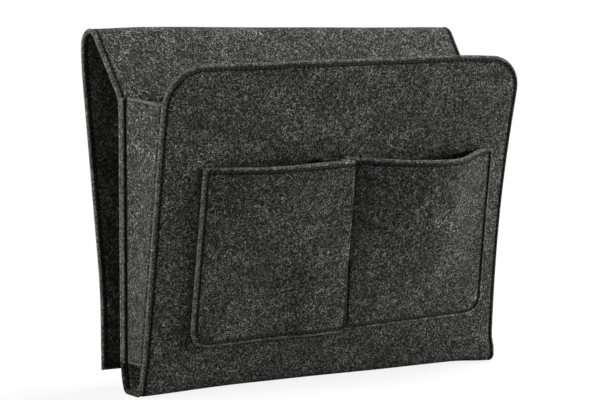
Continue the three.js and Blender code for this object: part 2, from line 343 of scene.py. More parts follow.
def heatherFelt(name, seed, edgePaleAndLit):
    # ridges of two warped noises make curling pale threads, and a finer noise the flecks
    h = heather
    material, tree, shader = newMaterial(name, h["surface"])
    kinds = ("ADD", "SUBTRACT", "MULTIPLY", "DIVIDE", "ABSOLUTE")
    plus, minus, times, over, size = (partial(mathNode, tree, kind) for kind in kinds)
    felted = addNode(tree, "UVMap", uv_map="feltMap").outputs[0]
    shift = (seed * h["shift"][0], seed * h["shift"][1], 0)
    shifted = addNode(tree, "Mapping", Vector=felted, Location=shift).outputs[0]

    def noise(kind):
        look = dict(zip(("Scale", "Detail", "Roughness", "Distortion"), h[kind]))
        return addNode(tree, "TexNoise", Vector=shifted, **look).outputs["Fac"]

    def threads(kind, thin):
        # pale lines where a warped noise passes its middle value
        return minus(1.0, times(size(minus(noise(kind), 0.5)), thin), clamp=True)

    def part(kind, value):
        return times(value, h[kind][-1])

    tangle, hair = threads("tangle", h["tangleThin"]), threads("hair", h["hairThin"])
    fleck = noise("fleck")
    fibres = plus(part("tangle", tangle), part("hair", hair))
    thick = plus(h["patchLeast"], part("patch", noise("patch")))
    level = plus(times(fibres, thick), part("fleck", fleck))
    level = plus(level, part("blotch", minus(noise("blotch"), 0.5)))
    level = times(minus(level, h["centre"]), h["contrast"])
    # pale smooth fuzz on the cut edge, with painted highlight on it
    distance = addNode(tree, "Attribute", attribute_name="edgeDistance").outputs["Fac"]
    wornAndLit = mathNode(tree, "MAXIMUM", minus(1.0, over(distance, h["wornAndLitDepth"])), 0.0)
    level = times(level, minus(1.0, times(wornAndLit, h["wornCalm"]), clamp=True))
    level = plus(level, plus(h["middle"], times(wornAndLit, h["wornAndLitPale"])))
    ramp = addNode(tree, "ValToRGB", Fac=level)
    for _ in h["tones"][2:]:
        ramp.color_ramp.elements.new(0.5)
    for stop, (place, pale) in zip(ramp.color_ramp.elements, h["tones"]):
        stop.position = place
        stop.color = (pale, pale, pale * h["warmth"], 1)

    # dark along the seam, and painted shade where the edge distance is set for it
    aside = size(minus(distance, inset))
    seamAndShadeDark = over(minus(felt["pressReach"], aside), felt["pressFade"], clamp=True)
    # the cut edge paler, as worn fuzz and painted highlight
    edgeLighter = plus(1.0, times(wornAndLit, edgePaleAndLit))
    gain = times(edgeLighter, minus(1.0, times(seamAndShadeDark, h["pressAndShadeDark"])))
    shade = addNode(tree, "Mix", data_type="RGBA", blend_type="MULTIPLY")
    for socket, value in ((0, 1.0), (6, ramp.outputs[0]), (7, gain)):
        feed(tree, shade.inputs[socket], value)
    feed(tree, shader.inputs["Base Color"], shade.outputs[2])
    strength, depth = h["fuzz"]
    height = plus(plus(fleck, tangle), hair)
    fuzz = addNode(tree, "Bump", Height=height, Strength=strength, Distance=depth)
    feed(tree, shader.inputs["Normal"], fuzz.outputs[0])
    return material


def betweenEnds(x, left, right):
    # a row's place is shared out from its left end to its right end
    toRight = ((x / halfWidth + 1.0) / 2.0)[..., None]
    return left * (1.0 - toRight) + right * toRight


def frontTop(x):
    return betweenEnds(x, np.array(mainSheet["topLeftMid"]), np.array(mainSheet["topRightMid"]))


def frontPoint(x, up):
    # the front's middle: straight from the foot to the top, which leans further on the left; then a belly,
    # the curled right edge, the top's sinking corner and the crease by the gusset's foot
    m = mainSheet
    foot = np.array(m["footMid"])
    climb = up / m["frontLength"]
    y, z = np.moveaxis(foot + climb[..., None] * (frontTop(x) - foot), -1, 0)
    hump = np.sin(np.pi * np.clip(climb, 0.0, 1.0))
    toCorner = (x - m["curlFrom"]) / (halfWidth - m["curlFrom"])
    curl = np.clip(toCorner, 0.0, 1.0) ** 2 * hump
    belly = m["bellyOut"] * (1.0 - (x / halfWidth) ** 2) * hump
    y = y + m["curlBack"] * curl - belly
    z = z - m["cornerDroop"] * smooth(toCorner) * smooth(climb * 2.0 - 1.0)
    dent = m["crease"] * np.exp(-((z - m["creaseAt"]) / m["creaseWidth"]) ** 2)
    dent = dent * smooth((m["creaseEnd"] - x) / m["creaseFade"])
    return bowed(np.stack([x - m["curlIn"] * curl, y + dent, z], -1))


def bowed(points):
    # lifts the fold between its corners, and spreads its ends
    m = mainSheet
    x, y, z = np.moveaxis(points, -1, 0)
    low = 1.0 - smooth(z / m["bowFade"])
    level = np.where(x < 0, m["bowLeft"], m["bowRight"])
    lift = m["bow"] * (1.0 - smooth((np.abs(x) - level) / (halfWidth - level))) * low
    flare = np.where(x < 0, m["flareLeft"], m["flareRight"])
    spread = flare * (1.0 - smooth((z - m["flareTop"]) / m["flareFade"]))
    return np.stack([x * (1.0 + spread / halfWidth), y, z + lift], -1)


def frontNormal(x, up):
    along = frontPoint(x + 0.5, up) - frontPoint(x - 0.5, up)
    climb = frontPoint(x, up + 0.5) - frontPoint(x, up - 0.5)
    return unit(np.cross(along, climb))      # out of the front, towards the viewer


def frontHeight(x, z):
    # how far up the front's slope a height lies
    foot = mainSheet["footMid"][1]
    return (z - foot) / (frontTop(x)[..., 1] - foot) * mainSheet["frontLength"]


heel = {
    # on the back's middle, where the lower sheet is cut
    "start": (-1.5, 100.0),
    "drop": 75.6, "softRadius": 14.0, "leanDeg": 21.0, "slant": 15.9, "tightRadius": 4.0,
}


def foldLine():
    # down the back, in along the heel, forward along the base and up into the front
    lean = math.degrees(math.atan2(*mainSheet["foldLean"]))
    tangent = mainSheet["foldRadius"] * math.tan(math.radians((90 - lean) / 2))
    moves = [
        (heel["drop"], 0, 20),
        arc(heel["softRadius"], -heel["leanDeg"], 5),
        (heel["slant"], 0, 6),
        arc(heel["tightRadius"], heel["leanDeg"] - 90, 8),
    ]
    flat = carried(heel["start"], -90, moves)[-1][0] - (mainSheet["footMid"][0] + tangent)
    moves += [(flat, 0, 5), arc(mainSheet["foldRadius"], -(90 - lean), 9)]
    return carried(heel["start"], -90, moves), tangent


def lowerSheet():
    # front, bottom fold and lower back as one grid: rows from the top of the front, columns across
    m = mainSheet
    line, tangent = foldLine()
    stations = across(wide, m["step"])
    x0 = stations - halfWidth
    plainFrom, plainCount = m["plainRows"]
    plain = np.linspace(plainFrom, m["frontLength"] - tangent, plainCount)
    down = joined([rimSteps, np.arange(*m["cornerRows"]), plain])
    up = m["frontLength"] - down
    rest = line[::-1][1:]        # from the fold back up to the cut
    rowDown = joined([down, runAlong(rest) + down[-1] + m["foldStep"]])
    radius = np.where(x0 < 0, m["cornerLeft"], m["cornerRight"])
    # a row's ends draw in round the upper corners, and its middle spreads evenly
    reach = halfWidth - drawnIn(rowDown[:, None], radius)
    side = np.minimum(stations, wide - stations)
    x = np.sign(x0) * np.maximum(reach - side, 0.0)
    x = np.where(side > m["evenFrom"], x0 * ((reach - m["evenFrom"]) / (halfWidth - m["evenFrom"])), x)
    toSide = halfWidth - np.abs(x)
    toTop = asRows(rowDown, x)
    edge = np.maximum(roundedEdge(toSide, toTop, radius), 0.0)
    frontX, foldX = x[: len(up)], x[len(up):]
    front = frontPoint(frontX, asRows(up, frontX))
    fold = bowed(np.stack([foldX, asRows(rest[:, 0], foldX), asRows(rest[:, 1], foldX)], -1))
    mid = rippled(joined([front, fold]), x, toTop, 3, smooth(edge / felt["rippleFrom"]))
    # a painted shadow beside the left pocket, carried by the edge distance
    shadeShare = shadowBesidePocket(x, toTop)
    wearAndPaintedLight = np.where(shadeShare > 0.01, darkeningDistance(shadeShare), edge)
    # painted shade on the cut edge round the fold
    shadedUnderFold = (toTop > down[-1]) & (mid[..., 2] < m["underTop"]) & (toSide < m["underRim"])
    wearAndPaintedLight = np.where(shadedUnderFold, darkeningDistance(m["underShade"]), wearAndPaintedLight)
    piece, surface = feltObject("lowerSheet", mid, feltHalf(edge), np.stack([x, toTop], -1), wearAndPaintedLight)
    return piece, (surface, x, rowDown)


upperLeft = {
    "neckStart": 197.0, "neckRadius": 20.0, "leanDeg": 37.5, "frontRadius": 11.0, "rearRadius": 11.0,
    "flapLeanDeg": 9.6, "shoulderRadius": 170.0, "tailDeg": 0.9, "tailRadius": 230.0,
}
upperRight = {
    "neckStart": 203.0, "neckRadius": 22.0, "leanDeg": 28.5, "frontRadius": 9.0, "rearRadius": 10.0,
    "flapLeanDeg": 6.0, "shoulderRadius": 190.0, "tailDeg": 0.8, "tailRadius": 300.0,
}
upperCut = {
    # y and z of the roll's top at both ends, and z of the hem
    "topLeft": (44.6, 252.4), "topRight": (30.5, 248.9), "hem": 12.1, "straight": 128.0,
    # the sheets meet this far up the climb from neck to roll, and lie even towards that line
    "climbShare": 0.55, "cutFade": 14.0,
    # rows crowd together this near the hem
    "hemRows": 9.0,
    # the roll sinks a little towards its left end
    "endDroop": 1.3, "droopEnd": -104.0, "droopOver": 45.0, "droopFrom": 205.0, "droopRise": 40.0,
}


def upperLines(end, top):
    # up the back, round the neck, up the climb, over the roll at the given top, down the flap
    lean = math.radians(end["leanDeg"])
    startY, startZ = heel["start"]
    neck, roll = end["neckRadius"], end["frontRadius"]
    neckEnd = np.array([startY + neck * (1 - math.cos(lean)), end["neckStart"] + neck * math.sin(lean)])
    rollFoot = np.array([top[0] - roll * math.cos(lean), top[1] - roll * (1 - math.sin(lean))])
    climbDeg = math.degrees(math.atan2(rollFoot[1] - neckEnd[1], rollFoot[0] - neckEnd[0]))
    lower = carried(heel["start"], 90, [
        (end["neckStart"] - startZ, 0, 28),
        arc(neck, climbDeg - 90, 14),
    ])
    lower = joined([lower, lower[-1] + (rollFoot - lower[-1]) * shares(6) * upperCut["climbShare"]])
    flapLean, tail = math.radians(end["flapLeanDeg"]), math.radians(end["tailDeg"])
    straight = upperCut["straight"]
    dropped = end["rearRadius"] + end["shoulderRadius"] * math.sin(flapLean) + straight * math.cos(flapLean)
    dropped += end["tailRadius"] * (math.sin(flapLean) - math.sin(tail))
    last = (top[1] - dropped - upperCut["hem"]) / math.cos(tail)
    climbRest = lower[-1] + (rollFoot - lower[-1]) * shares(8, 0)
    over = carried(rollFoot, climbDeg, [
        arc(roll, -climbDeg, 14),
        arc(end["rearRadius"], -90, 20),
        arc(end["shoulderRadius"], -end["flapLeanDeg"], 12),
        (straight, 0, 40),
        arc(end["tailRadius"], end["flapLeanDeg"] - end["tailDeg"], 12),
        (last, 0, 24),
    ])
    return lower, joined([climbRest, over[1:]])


def upperSheets(mapStart):
    # each sheet between its left and its right line; rows along them, columns across
    u = upperCut
    leftLower, leftUpper = upperLines(upperLeft, u["topLeft"])
    rightLower, rightUpper = upperLines(upperRight, u["topRight"])
    stations = across(wide, mainSheet["step"])
    x0 = stations - halfWidth
    made = []
    for name, left, right, hemmed, seed in (
        ("backSheet", leftLower, rightLower, False, 4), ("flapSheet", leftUpper, rightUpper, True, 5),
    ):
        run = runAlong((left + right) / 2)
        if hemmed:
            rows = joined([run[run < run[-1] - u["hemRows"]], (run[-1] - rimSteps)[::-1]])
            left, right, run = readAlong(rows, run, left), readAlong(rows, run, right), rows
        x = np.broadcast_to(x0, (len(run), len(x0)))
        down = asRows(run, x)
        side = np.broadcast_to(np.minimum(stations, wide - stations), x.shape)
        edge = np.minimum(side, run[-1] - down if hemmed else farOff)
        mid = joined([x[..., None], betweenEnds(x, left[:, None, :], right[:, None, :])], -1)
        sunk = smooth((u["droopEnd"] - x) / u["droopOver"])
        mid[..., 2] -= u["endDroop"] * sunk * smooth((mid[..., 2] - u["droopFrom"]) / u["droopRise"])
        fade = smooth(edge / felt["rippleFrom"]) * smooth(down / u["cutFade"])
        if not hemmed:
            fade = fade * smooth((run[-1] - down) / u["cutFade"])
        mid = rippled(mid, x, down, seed, fade)
        mapping = np.stack([x, down + mapStart], -1)
        mapStart += run[-1]
        piece, surface = feltObject(name, mid, feltHalf(edge), mapping, edge)
        made.append((piece, (surface, x, run)))
    return made


gussetSheet = {
    "bottom": 21.0, "top": 206.0, "clear": 0.12, "wallColumns": 18, "step": 3.4,
    # the mouth's side dips towards the front, and the wall bows in
    "droop": 2.6, "bowIn": 1.4,
    # the flanges turned out into the seams, and their bends
    "turnout": 4.6, "rearBend": 1.9, "frontBend": 2.8,
    # the front is read off this far in from its edge
    "edgeInset": 2.0, "frontLeanDeg": 8.5,
    # the upper and the lower edge: rounding; a pale rim of worn fuzz with painted highlight, and plain felt, by
    # where and by their paint
    "rim": 1.3, "endWornAndLit": 1.6, "endPaleAndLit": -0.6, "endPlain": 2.5, "plain": 20.0,
    # painted shade in the fold behind the wall between these; a fine dark line runs beside the front's edge
    "shadedFrom": 1.7, "shadedTo": 6.3, "lineWide": 2.2, "lineDark": 0.45,
}


def gusset(name, side):
    # rows up the gusset, each out of the back seam, round a bend, along the wall and out into the front seam
    g = gussetSheet
    height = g["top"] - g["bottom"]
    rows = across(height, g["step"])
    z = g["bottom"] + rows
    edgeX = np.full_like(z, side * (halfWidth - g["edgeInset"]))
    frontEdge = frontPoint(edgeX, frontHeight(edgeX, z))
    rearY = -felt["thickness"] - g["clear"] - halfFelt
    frontY = frontEdge[:, 1] + halfFelt / math.cos(math.radians(g["frontLeanDeg"])) + g["clear"] + halfFelt
    start = (halfWidth, 0.0)
    rear = carried(start, 180, [(g["turnout"] - g["rearBend"], 0, 8), arc(g["rearBend"], 90, 7)])
    front = carried(start, 180, [(g["turnout"] - g["frontBend"], 0, 6), arc(g["frontBend"], -90, 8)])
    wall = np.linspace(0, 1, g["wallColumns"])[1:-1]
    # x and y offset from the two flanges, and the share from the rear to the front one
    planX = joined([rear[:, 0], np.full(len(wall), rear[-1, 0]), front[::-1, 0]])
    rearOff = np.pad(rear[:, 1], (0, len(wall) + len(front)), "edge")
    frontOff = np.pad(front[::-1, 1], (len(rear) + len(wall), 0), "edge")
    share = np.pad(wall, (len(rear), len(front)), constant_values=(0, 1))
    y = (rearY + rearOff) * (1 - share) + (frontY[:, None] + frontOff) * share
    bow = g["bowIn"] * np.sin(np.pi * share) * np.sin(np.pi * rows / height)[:, None]
    dipped = z[:, None] - g["droop"] * share ** 1.5 * (rows / height)[:, None] ** 4
    mid = np.stack([side * (planX - bow), y, dipped], -1)
    # where the front's edge is drawn back and in, this edge goes with it
    mid[..., 0] += (frontEdge[:, 0] - edgeX)[:, None] * share
    run = runAlong(mid[len(z) // 2])
    toSide = np.broadcast_to(np.minimum(run, run[-1] - run), y.shape)
    toEnd = asRows(np.minimum(rows, height - rows), y)
    seamed = feltHalf(toSide, dict(felt, borderRise=0.0))
    plain = feltHalf(toEnd, dict(felt, dip=0.0, borderRise=0.0, rim=g["rim"]))
    mapping = np.stack(np.broadcast_arrays(run + patternAt[name], rows[:, None]), -1)
    # the pale rim at the upper and lower edge is worn fuzz with painted highlight
    atEnd = np.where(toEnd < g["endWornAndLit"], g["endPaleAndLit"], np.where(toEnd < g["endPlain"], toEnd, g["plain"]))
    wearAndPaintedLight = np.minimum(toSide, atEnd)
    # painted shade in the fold behind the wall
    wearAndPaintedLight = np.where((toSide > g["shadedFrom"]) & (run < g["shadedTo"]), inset, wearAndPaintedLight)
    wearAndPaintedLight = np.where(run[-1] - run < g["lineWide"], darkeningDistance(g["lineDark"]), wearAndPaintedLight)
    widths = np.linalg.norm(np.diff(mid, axis=1), axis=2).sum(1)
    piece = feltObject(name, mid, np.minimum(seamed, plain), mapping, wearAndPaintedLight)[0]
    return piece, (widths.max(), height, widths.mean() * height)


pocketSheet = {
    # the pockets' outer sides at the hem, and how far up the front the hem's ends and the mouth lie
    "left": -115.0, "right": 132.8, "hemLeft": 32.0, "hemRight": 39.0, "mouth": 161.5,
    # sewn flat at the hem up to this share of the height
    "corner": 14.0, "clear": 0.12, "sewnTo": 0.04,
    # the left pocket's fold: x at the hem and the mouth, radius, how far it turns back, where that lies flat
    "fold": (8.8, 1.8), "bend": 1.68, "under": 20.0, "underFlat": 6.0, "turnedRim": 3.0,
    # how far the left pocket stands out, and over what run; near the hem it lifts over a shorter one
    "leftFull": 10.6, "riseFrom": 4.5, "leftRise": 64.0, "liftOver": 40.0,
    # painted shade on the fold's outside between these
    "foldShade": (0.7, 7.0),
    # a painted shadow on the front beside the left pocket: how dark, how wide, and the fading at both ends
    "pocketShadow": (0.42, 9.0, 8.0, 2.0, 6.0),
    # the right pocket's fullness, its peak's x, where its swell begins and the flat beside its seam
    "rightFull": 18.0, "rightPeak": 80.0, "swellFrom": 1.5, "seamFlat": 5.0,
    # it narrows so much up to its mouth
    "rightSlant": 3.2,
    # it starts beside the fold, then goes beneath it: how far, from and over which share of fullness
    "beside": 0.3, "beneath": (4.2, 0.35, 0.4),
    # painted shade beside the fold: all dark up to here beyond it, then by distance and share, but not at the
    # mouth's rim
    "shadedTo": 5.2, "shade": ((0.0, 1.0), (2.5, 0.5), (9.0, 0.2), (20.0, 0.0)), "shadeMouth": 2.0,
    # drawn columns, and the run over which the left side's keep their distance
    "flatWidth": 116.0, "plainFrom": 10.0, "plainColumns": 46, "sideKeeps": 40.0, "sideUntil": 60.0,
    "bendColumns": 12, "step": 2.6,
    # rows round the lower corners: from, to, step; and where those above them start
    "cornerRows": (9.4, 17.0, 1.1), "plainRows": 17.4,
}
# each: how much, from which x, over what run
mouthCurve = {
    "low": 0.3, "toFold": (2.2, -90.0, 95.0), "atFold": (1.0, 4.0, 6.0),
    "pastFold": (1.5, 10.0, 45.0), "toCorner": (3.0, 88.0, 32.0),
}


def hemAt(x):
    p = pocketSheet
    return p["hemLeft"] + (p["hemRight"] - p["hemLeft"]) * (x - p["left"]) / (p["right"] - p["left"])


def gained(x, much, start, over):
    return much * smooth((x - start) / over)


def mouthRise(x):
    # the mouths' line rises to the fold, sags past it and rises to the right corner
    m = mouthCurve
    left = m["low"] + gained(x, *m["toFold"]) - gained(x, *m["atFold"])
    much, start, over = m["pastFold"]
    right = much * (1.0 - smooth((x - start) / over)) + gained(x, *m["toCorner"])
    return np.where(x < start, left, right)


def pocketClimb(x, share):
    # how far up the front the rows lie: evenly from the slanting hem to the mouth
    hem = hemAt(x)
    return hem + (pocketSheet["mouth"] - hem) * share[:, None] + mouthRise(x) * share[:, None] ** 3


def pocketMid(x, up, out):
    # the pocket's middle surface, so far out from the front's outer face
    base = frontPoint(x, up)
    return base + frontNormal(x, up) * (out + halfFelt)[..., None]


def swelling(share):
    # 0 to 1: an even slope that rounds off towards its top
    share = np.clip(share, 0.0, 1.0)
    return share * (1.25 - 0.25 * share ** 4)


def fullness(share):
    # sewn flat at the hem, full at the mouth
    sewn = pocketSheet["sewnTo"]
    return swelling((share - sewn) / (1.0 - sewn))


def foldEdge(share):
    atHem, atMouth = pocketSheet["fold"]
    return atHem + (atMouth - atHem) * share


def rightSide(share):
    return pocketSheet["right"] - pocketSheet["rightSlant"] * share


def shadowBesidePocket(x, toTop):
    # the painted shadow on the front beside the left pocket: less outwards and past both its ends
    p = pocketSheet
    most, reach, foot, past, top = p["pocketShadow"]
    above = mainSheet["frontLength"] - toTop - hemAt(x)
    beside = p["left"] + drawnIn(np.clip(above, 0.0, None), p["corner"]) - x
    shadeShare = most * (1.0 - smooth(beside / reach)) * (x < 0) * smooth((above + foot) / foot)
    return shadeShare * (1.0 - smooth((above - p["mouth"] + p["hemLeft"] + past) / top))


def pocketRows():
    p = pocketSheet
    height = p["mouth"] - (p["hemLeft"] + p["hemRight"]) / 2
    low = np.arange(*p["cornerRows"])
    count = int((height - p["cornerRows"][1] - rimSteps[-1]) / p["step"])
    plain = np.linspace(p["plainRows"], height - rimSteps[-1], count)
    return joined([rimSteps, low, plain, (height - rimSteps[:-1])[::-1]]), height


def leftPocket():
    # columns from the side seam, round the fold and back behind it; rows up from the hem
    p = pocketSheet
    rows, height = pocketRows()
    share = rows / height
    seated = p["clear"] + halfFelt
    startX = p["left"] + drawnIn(rows, p["corner"])
    bendX = foldEdge(share) - p["bend"] - halfFelt
    width = (bendX - startX)[:, None]
    base = joined([rimSteps, np.linspace(p["plainFrom"], p["flatWidth"], p["plainColumns"])])
    # the first stations keep their true distance from the side
    blend = smooth((base - rimSteps[-1]) / p["sideKeeps"])
    flatRun = base * (1 - blend) + base / base[-1] * width * blend
    full = fullness(share)[:, None]
    fullest = seated + 2 * p["bend"] + (p["leftFull"] - 2 * p["bend"]) * full
    rise = swelling((flatRun - p["riseFrom"]) / p["leftRise"]) * full
    lift = smooth((flatRun - width + p["under"] + p["liftOver"]) / p["liftOver"]) * (1 - full)
    flatOut = seated + (fullest - seated) * np.minimum(1.0, rise + lift)
    flatX = startX[:, None] + flatRun
    angles = np.linspace(0, math.pi, p["bendColumns"])[1:]
    bendOutX = bendX[:, None] + p["bend"] * np.sin(angles)
    bendOut = fullest - p["bend"] * (1 - np.cos(angles))
    backRun = np.linspace(0, p["under"], p["bendColumns"])[1:]
    turned = fullest - 2 * p["bend"]
    backOut = turned + (seated - turned) * smooth(backRun / (p["under"] - p["underFlat"]))
    x = joined([flatX, bendOutX, bendX[:, None] - backRun], 1)
    out = joined([flatOut, bendOut, backOut], 1)
    mid = pocketMid(x, pocketClimb(x, share), out)
    bendRun = np.cumsum(np.full((len(rows), len(angles)), math.pi * p["bend"] / len(angles)), 1)
    run = joined([flatRun, width + bendRun], 1)
    run = joined([run, run[:, -1:] + backRun], 1)
    toHem = asRows(rows, run)
    side = np.where(run < p["sideUntil"], x - p["left"], farOff)
    toTurned = run[:, -1:] - run
    edge = np.minimum(roundedEdge(side, toHem, p["corner"]), height - toHem)
    edge = np.maximum(np.minimum(edge, np.where(toTurned < p["turnedRim"], toTurned, farOff)), 0.0)
    # painted shade on the fold's outside
    foldShaded = (run > width + p["foldShade"][0]) & (run < width + p["foldShade"][1])
    wearAndPaintedLight = np.where(foldShaded, inset, edge)
    mapping = np.stack([run + patternAt["leftPocket"], toHem], -1)
    piece, surface = feltObject("leftPocket", mid, feltHalf(edge), mapping, wearAndPaintedLight)
    front = tuple(part[:, :len(base)] for part in surface)
    area = run[:, -1].mean() * height - squareLess * p["corner"] ** 2
    return piece, (front, flatX, rows), (run[:, -1].max(), height, area)


def rightOut(x, share, endX):
    # the right pocket's swell: up from the fold to its peak, then down to its side seam
    p = pocketSheet
    seated = p["clear"] + halfFelt
    begin = foldEdge(share) + p["swellFrom"]
    climb = swelling((x - begin) / (p["rightPeak"] - begin))
    fall = smooth((endX - p["seamFlat"] - x) / (endX - p["seamFlat"] - p["rightPeak"]))
    return seated + (p["rightFull"] - seated) * fullness(share) * climb * fall


def rightPocket():
    # columns from the fold to the side seam; rows up from the hem
    p = pocketSheet
    rows, height = pocketRows()
    share = rows / height
    # up from where the fold stands clear of the front, this edge goes under it
    startX = foldEdge(share) + p["beside"] - gained(fullness(share), *p["beneath"])
    endX = rightSide(share) - drawnIn(rows, p["corner"])
    base = across(p["flatWidth"], p["step"])
    width = endX - startX
    # the middle takes up the difference in width, not the sides
    inner = smooth((base - rimSteps[-1]) / (p["flatWidth"] - 2 * rimSteps[-1]))
    run = base + (width[:, None] - p["flatWidth"]) * inner
    x = startX[:, None] + run
    mid = pocketMid(x, pocketClimb(x, share), rightOut(x, share[:, None], endX[:, None]))
    toHem = asRows(rows, run)
    toMouth = height - toHem
    low = roundedEdge(rightSide(share)[:, None] - x, toHem, p["corner"])
    edge = np.maximum(np.minimum(np.minimum(low, toMouth), run), 0.0)
    # painted shade beside the left pocket's fold, the darker the nearer
    near = np.maximum(x - foldEdge(share)[:, None] - p["shadedTo"] * fullness(share)[:, None], 0.0)
    shadeShare = np.interp(near, *np.transpose(p["shade"]))
    seam = np.clip((felt["pressReach"] - np.abs(edge - inset)) / felt["pressFade"], 0.0, 1.0)
    wearAndPaintedLight = np.where((shadeShare > seam) & (toMouth > p["shadeMouth"]), darkeningDistance(shadeShare), edge)
    mapping = np.stack([x + patternAt["rightPocket"], toHem], -1)
    piece, surface = feltObject("rightPocket", mid, feltHalf(edge), mapping, wearAndPaintedLight)
    area = width.mean() * height - squareLess * p["corner"] ** 2
    return piece, (surface, x, rows), (width.max(), height, area)


threadStyle = {
    "pitch": 3.9, "length": 3.0, "radius": 0.34, "sides": 6,
    # the thread's middle above the groove
    "lift": 0.16,
    # how closely a seam is read off the cloth, and how far from a pocket's fold it ends
    "spacing": 0.8, "cornerSteps": 16, "shortOfFold": 1.0,
    # along a stitch: place, share of the radius, height; its ends sink into the cloth
    "rings": (
        (0.0, 0.3, -0.45), (0.1, 0.85, -0.1), (0.35, 1.0, 0.06),
        (0.65, 1.0, 0.06), (0.9, 0.85, -0.1), (1.0, 0.3, -0.45),
    ),
    "tones": ((0.007, 0.007, 0.007, 1), (0.032, 0.032, 0.031, 1)), "twist": 1500.0,
    # strength and depth in metres
    "relief": (0.3, 0.0002),
    "surface": {"Roughness": 0.7},
}


def threadMaterial():
    # a fine noise over the thread's own place, dark to pale and raised a little
    t = threadStyle
    material, tree, shader = newMaterial("charcoalThread", t["surface"])
    place = addNode(tree, "TexCoord").outputs["Object"]
    twist = addNode(tree, "TexNoise", Vector=place, Scale=t["twist"]).outputs["Fac"]
    ramp = addNode(tree, "ValToRGB", Fac=twist)
    for stop, tone in zip(ramp.color_ramp.elements, t["tones"]):
        stop.color = tone
    strength, depth = t["relief"]
    bump = addNode(tree, "Bump", Height=twist, Strength=strength, Distance=depth)
    feed(tree, shader.inputs["Base Color"], ramp.outputs[0])
    feed(tree, shader.inputs["Normal"], bump.outputs[0])
    return material


def seamOn(cloth, path, facing):
    # a path drawn on the flat cloth, found on the made surface by row and column, bilinear
    (mid, normals, half), places, rows = cloth
    rowAt = np.interp(path[:, 1], rows, np.arange(len(rows)))
    low = np.clip(rowAt.astype(int), 0, len(rows) - 2)
    rise = (rowAt - low)[:, None]
    columns = places[low] * (1 - rise) + places[low + 1] * rise
    left = np.clip((columns <= path[:, :1]).sum(1) - 1, 0, columns.shape[1] - 2)
    every = np.arange(len(path))
    gap = columns[every, left + 1] - columns[every, left]
    aside = np.clip((path[:, 0] - columns[every, left]) / gap, 0.0, 1.0)[:, None]

    def read(grid):
        below = grid[low, left] * (1 - aside) + grid[low, left + 1] * aside
        above = grid[low + 1, left] * (1 - aside) + grid[low + 1, left + 1] * aside
        return below * (1 - rise) + above * rise

    outward = unit(read(normals)) * facing
    return read(mid) + outward * (read(half[..., None]) + threadStyle["lift"]), outward


def evenly(corners):
    # a path through corners with points at an even spacing
    corners = np.asarray(corners, float)
    run = runAlong(corners)
    return readAlong(np.linspace(0, run[-1], int(run[-1] / threadStyle["spacing"]) + 2), run, corners)


def quarter(x, corner, fromDeg, toDeg):
    # a seam round a corner; the circle's middle is at x and a radius up
    angles = np.radians(np.linspace(fromDeg, toDeg, threadStyle["cornerSteps"]))
    radius = corner - inset
    return np.stack([x + radius * np.cos(angles), corner + radius * np.sin(angles)], 1)


def stitches(seams):
    # short round threads along each seam: rings carried along its own line
    t = threadStyle
    share, size, sink = np.transpose(t["rings"])
    sides, rings = t["sides"], len(share)
    turn = np.arange(sides) * 2 * math.pi / sides
    index = np.arange(rings * sides).reshape(rings, sides)
    around = np.roll(index, -1, 1)
    tube = np.stack([index[:-1], around[:-1], around[1:], index[1:]], -1).reshape(-1, 4)
    caps = np.array([[3, 2, 1, 0], [5, 4, 3, 0]])    # two faces close a ring of six
    oneStitch = joined([tube, caps, caps[:, ::-1] + (rings - 1) * sides])
    corners, faces, made = [], [], 0
    for line, outward in seams:
        run = runAlong(line)
        count = int(run[-1] / t["pitch"])
        middles = (np.arange(count) + 0.5) * run[-1] / count
        at = middles[:, None] + (share - 0.5) * t["length"]
        centre, up = readAlong(at, run, line), unit(readAlong(at, run, outward))
        aside = unit(np.cross(up, unit(np.gradient(centre, axis=1))))
        centre = centre + up * sink[:, None]
        spoke = up[:, :, None] * np.cos(turn)[:, None] + aside[:, :, None] * np.sin(turn)[:, None]
        radius = (t["radius"] * size)[:, None, None]
        corners.append((centre[:, :, None] + spoke * radius).reshape(-1, 3))
        shift = (made + np.arange(count)) * rings * sides
        faces.append((oneStitch + shift[:, None, None]).reshape(-1, 4))
        made += count
    return joined(corners), joined(faces)


def threadObject(name, seams):
    corners, faces = stitches(seams)
    return meshObject(name, corners, facingOut(corners, faces), np.ones(len(faces), bool))


print("making the main sheet")
lower, lowerCloth = lowerSheet()
lowerLength = lowerCloth[-1][-1]
(back, backCloth), (flap, flapCloth) = upperSheets(lowerLength)
backLength, flapLength = backCloth[-1][-1], flapCloth[-1][-1]
print("making the gussets")
leftGusset, leftGussetSize = gusset("leftGusset", -1)
rightGusset, rightGussetSize = gusset("rightGusset", 1)
print("making the pockets")
pocketLeft, leftCloth, leftSize = leftPocket()
pocketRight, rightCloth, rightSize = rightPocket()
leftX, rightX, pocketHeight = leftCloth[1], rightCloth[1], leftSize[1]

print("stitching")
nearEdge = halfWidth - inset
cornerLeft, cornerRight = mainSheet["cornerLeft"], mainSheet["cornerRight"]
frontSeam = evenly(joined([
    [[-nearEdge, lowerLength]],
    quarter(-halfWidth + cornerLeft, cornerLeft, 180, 270),
    quarter(halfWidth - cornerRight, cornerRight, 270, 360),
    [[nearEdge, lowerLength]],
]))
hemLine = flapLength - inset
flapSeam = evenly([(-nearEdge, 0), (-nearEdge, hemLine), (nearEdge, hemLine), (nearEdge, 0)])
backSeams = [evenly([(side * nearEdge, 0), (side * nearEdge, backLength)]) for side in (-1, 1)]
pocketCorner, mouthLine, short = pocketSheet["corner"], pocketHeight - inset, threadStyle["shortOfFold"]
leftSeam = evenly(joined([
    [[leftX[-1, -1] - short, mouthLine], [pocketSheet["left"] + inset, mouthLine]],
    quarter(pocketSheet["left"] + pocketCorner, pocketCorner, 180, 270),
    [[leftX[0, -1] - short, inset]],
]))
